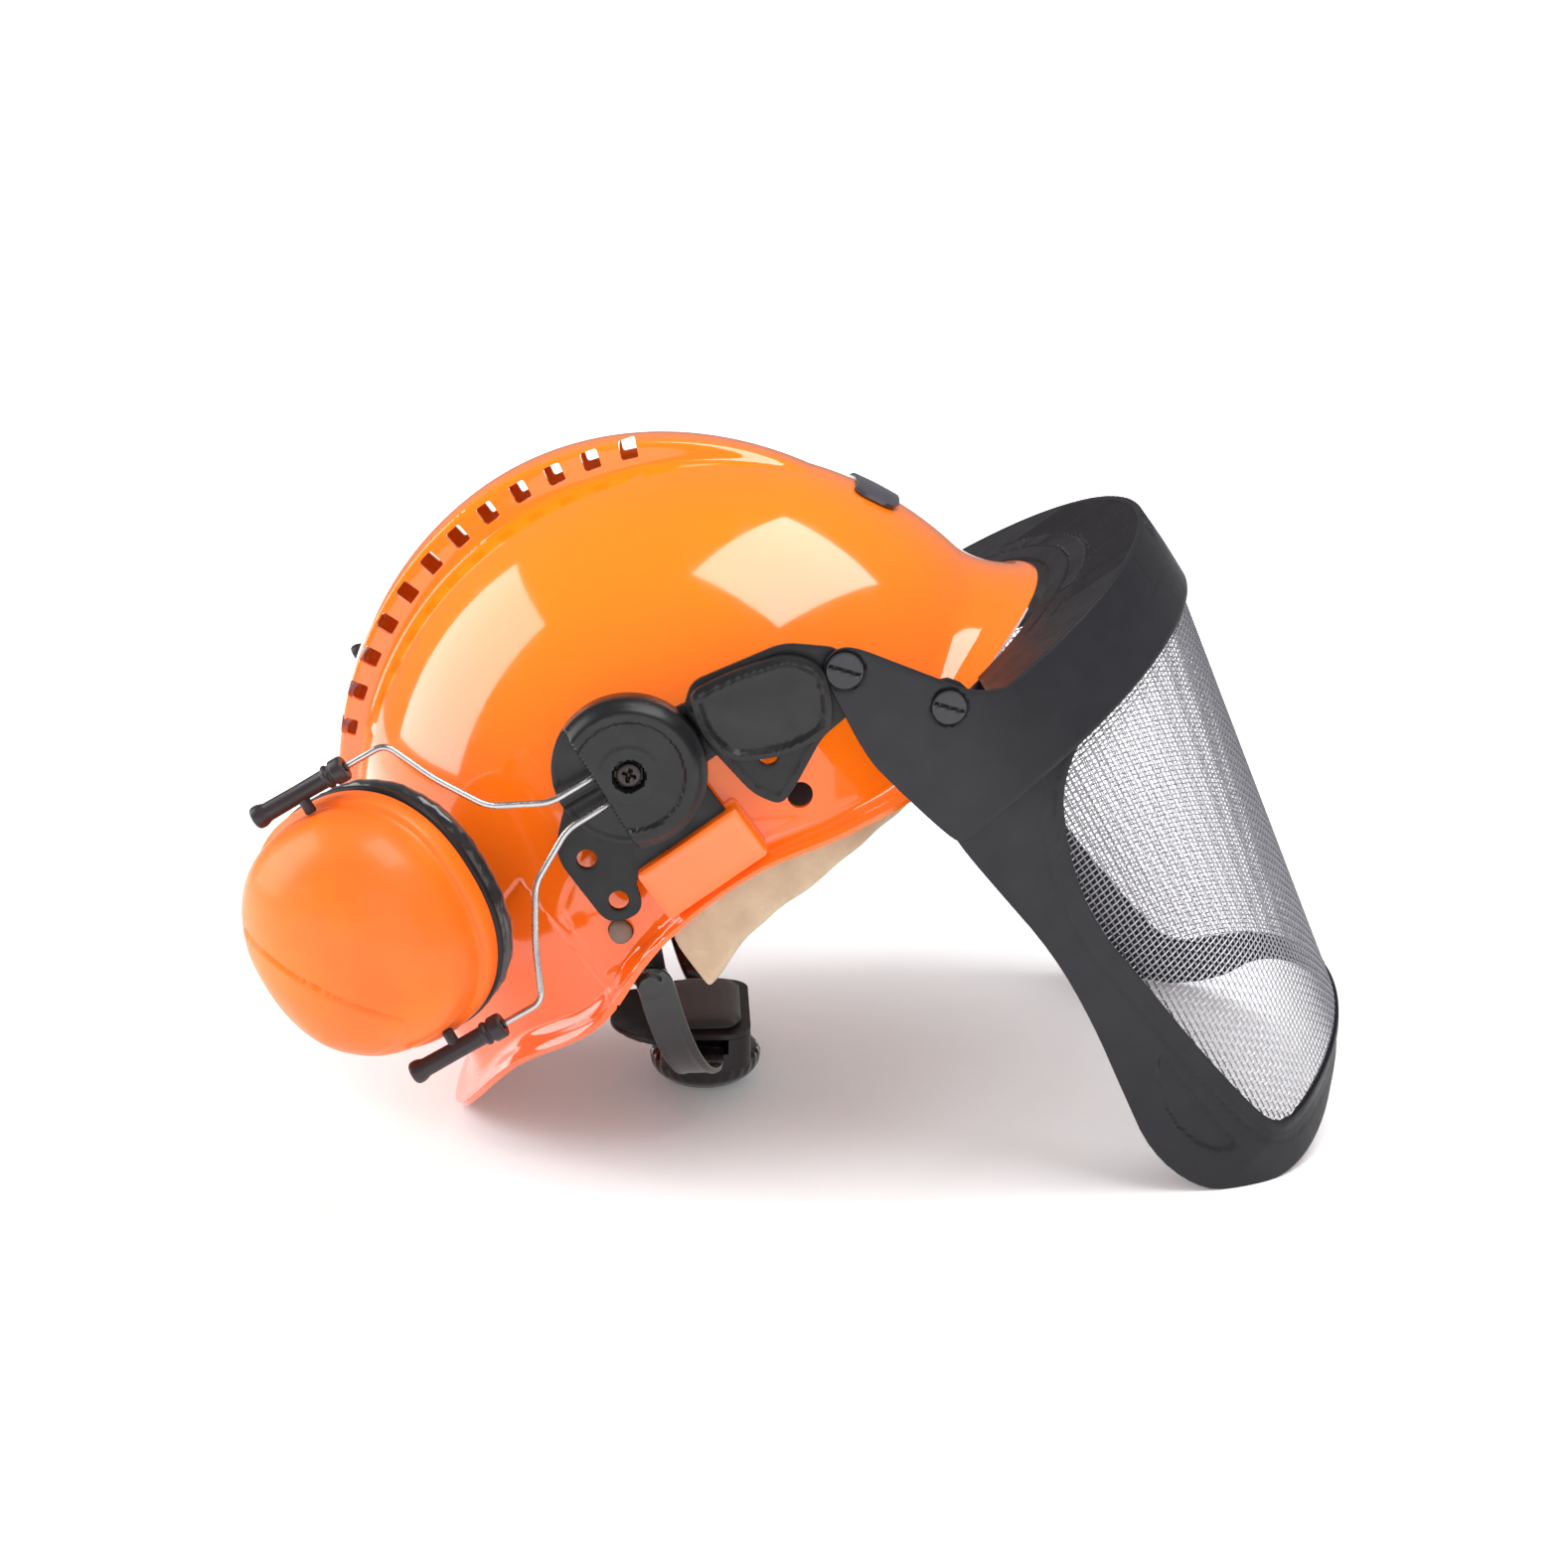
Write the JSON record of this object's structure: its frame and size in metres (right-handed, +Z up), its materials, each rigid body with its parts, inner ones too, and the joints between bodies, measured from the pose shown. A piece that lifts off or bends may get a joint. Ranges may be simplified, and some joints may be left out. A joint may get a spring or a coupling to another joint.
{
  "type": "forestry helmet",
  "caption": "Vented safety helmet with harness, folding ear muffs on wire arms and a tilting woven mesh visor, lying on its visor tips and nape",
  "frame": {"origin": "on the table plane under the middle of the helmet as it lies, centred in x and y", "axes": "+Z up; -Y is the side the helmet faces; +X is to the wearer's left; the helmet lies with its front raised 35 degrees"},
  "size_m": [0.3108, 0.4106, 0.2633],
  "materials": {
    "shell_orange": "bright orange moulded shell, polished",
    "badge_dark": "plain dark badge with no marking",
    "plug_brown": "brownish grey plug",
    "black_plastic": "black moulded plastic, slightly satin",
    "cap_black": "black cover with a raised border",
    "charcoal_plastic": "charcoal plastic with a purple cast",
    "screw_dark": "dark plastic screw",
    "screw_steel": "zinc-plated steel screw",
    "wire_steel": "bright spring steel wire",
    "cup_orange": "orange semi-matte ear cup",
    "cushion_black": "glossy black cushion skin",
    "foam_grey": "open-cell foam",
    "mesh_steel": "woven metal mesh",
    "sweat_beige": "beige sweatband leather",
    "webbing_black": "woven webbing",
    "knob_black": "polished black knob",
    "strap_black": "flexible black plastic strap",
    "pad_black": "soft nape pad"
  },
  "bodies": {
    "helmet": {"shell": "shell_orange", "front_badge": "badge_dark", "rim_plug_right": "plug_brown", "rim_plug_left": "plug_brown", "adapter_plate_right": "black_plastic", "adapter_plate_left": "black_plastic", "visor_carrier_right": "black_plastic", "visor_carrier_left": "black_plastic", "carrier_cap_right": "cap_black", "carrier_cap_left": "cap_black", "pivot_screw_right": "screw_dark", "pivot_screw_left": "screw_dark", "disc_screw_right": "screw_steel", "disc_screw_left": "screw_steel", "headband": "strap_black", "sweatband": "sweat_beige", "harness_clips": "strap_black", "crown_strap_lower": "webbing_black", "crown_strap_upper": "webbing_black"},
    "visor": {"visor_bracket": "charcoal_plastic", "visor_frame": "charcoal_plastic", "visor_mesh": "mesh_steel", "visor_screw_right": "screw_dark", "visor_screw_left": "screw_dark"},
    "disc_right": {"arm_disc_right": "cap_black"},
    "arm_right": {"arm_hinge_right": "wire_steel", "arm_wires_right": "wire_steel"},
    "sleeves_right": {"wire_sleeves_right": "black_plastic"},
    "muff_right": {"ear_cup_right": "cup_orange", "cup_back_right": "black_plastic", "cup_foam_right": "foam_grey", "ear_cushion_right": "cushion_black"},
    "disc_left": {"arm_disc_left": "cap_black"},
    "arm_left": {"arm_hinge_left": "wire_steel", "arm_wires_left": "wire_steel"},
    "sleeves_left": {"wire_sleeves_left": "black_plastic"},
    "muff_left": {"ear_cup_left": "cup_orange", "cup_back_left": "black_plastic", "cup_foam_left": "foam_grey", "ear_cushion_left": "cushion_black"},
    "nape_unit": {"ratchet_housing": "strap_black", "ratchet_cover": "strap_black", "nape_pad": "pad_black"},
    "knob": {"ratchet_knob": "knob_black", "ratchet_pinion": "strap_black"},
    "strap_right": {"nape_strap_right": "strap_black"},
    "strap_left": {"nape_strap_left": "strap_black"}
  },
  "joints": [
    {"name": "visor_tilt", "type": "hinge", "parent": "helmet", "child": "visor", "pos_m": [0, 0.00023, 0.19951], "axis": [-1, 0, 0], "range_deg": [0, 90]},
    {"name": "arm_swing_right", "type": "hinge", "parent": "helmet", "child": "disc_right", "pos_m": [-0.113, 0.07282, 0.16492], "axis": [-1, 0, 0], "range_deg": [-30, 40]},
    {"name": "arm_tilt_right", "type": "hinge", "parent": "disc_right", "child": "arm_right", "pos_m": [-0.12, 0.08062, 0.16042], "axis": [0, 0.5, 0.866], "range_deg": [-4, 14]},
    {"name": "cup_slide_right", "type": "slide", "parent": "arm_right", "child": "sleeves_right", "axis": [0, 0.866, -0.5], "range_m": [-0.006, 0.02]},
    {"name": "cup_swivel_right", "type": "hinge", "parent": "sleeves_right", "child": "muff_right", "pos_m": [-0.127, 0.15769, 0.11592], "axis": [0.1392, 0.4951, 0.8576], "range_deg": [-8, 25]},
    {"name": "arm_swing_left", "type": "hinge", "parent": "helmet", "child": "disc_left", "pos_m": [0.113, 0.07282, 0.16492], "axis": [-1, 0, 0], "range_deg": [-30, 40]},
    {"name": "arm_tilt_left", "type": "hinge", "parent": "disc_left", "child": "arm_left", "pos_m": [0.12, 0.08062, 0.16042], "axis": [0, -0.5, -0.866], "range_deg": [-4, 14]},
    {"name": "cup_slide_left", "type": "slide", "parent": "arm_left", "child": "sleeves_left", "axis": [0, 0.866, -0.5], "range_m": [-0.006, 0.02]},
    {"name": "cup_swivel_left", "type": "hinge", "parent": "sleeves_left", "child": "muff_left", "pos_m": [0.127, 0.15769, 0.11592], "axis": [0.1392, -0.4951, -0.8576], "range_deg": [-8, 25]},
    {"name": "nape_swing", "type": "hinge", "parent": "helmet", "child": "nape_unit", "pos_m": [0, 0.06781, 0.07321], "axis": [1, 0, 0], "range_deg": [0, 55]},
    {"name": "knob_turn", "type": "hinge", "parent": "nape_unit", "child": "knob", "pos_m": [0, 0.04751, 0.01421], "axis": [0, 0, -1], "range_deg": [0, 32.3]},
    {"name": "strap_pull_right", "type": "slide", "parent": "nape_unit", "child": "strap_right", "axis": [1, 0, 0], "range_m": [0, 0.0026]},
    {"name": "strap_pull_left", "type": "slide", "parent": "nape_unit", "child": "strap_left", "axis": [-1, 0, 0], "range_m": [0, 0.0026]}
  ],
  "couplings": [
    {"joint": "strap_pull_right", "follows": "knob_turn", "m_per_rad": 0.0046},
    {"joint": "strap_pull_left", "follows": "knob_turn", "m_per_rad": 0.0046}
  ]
}
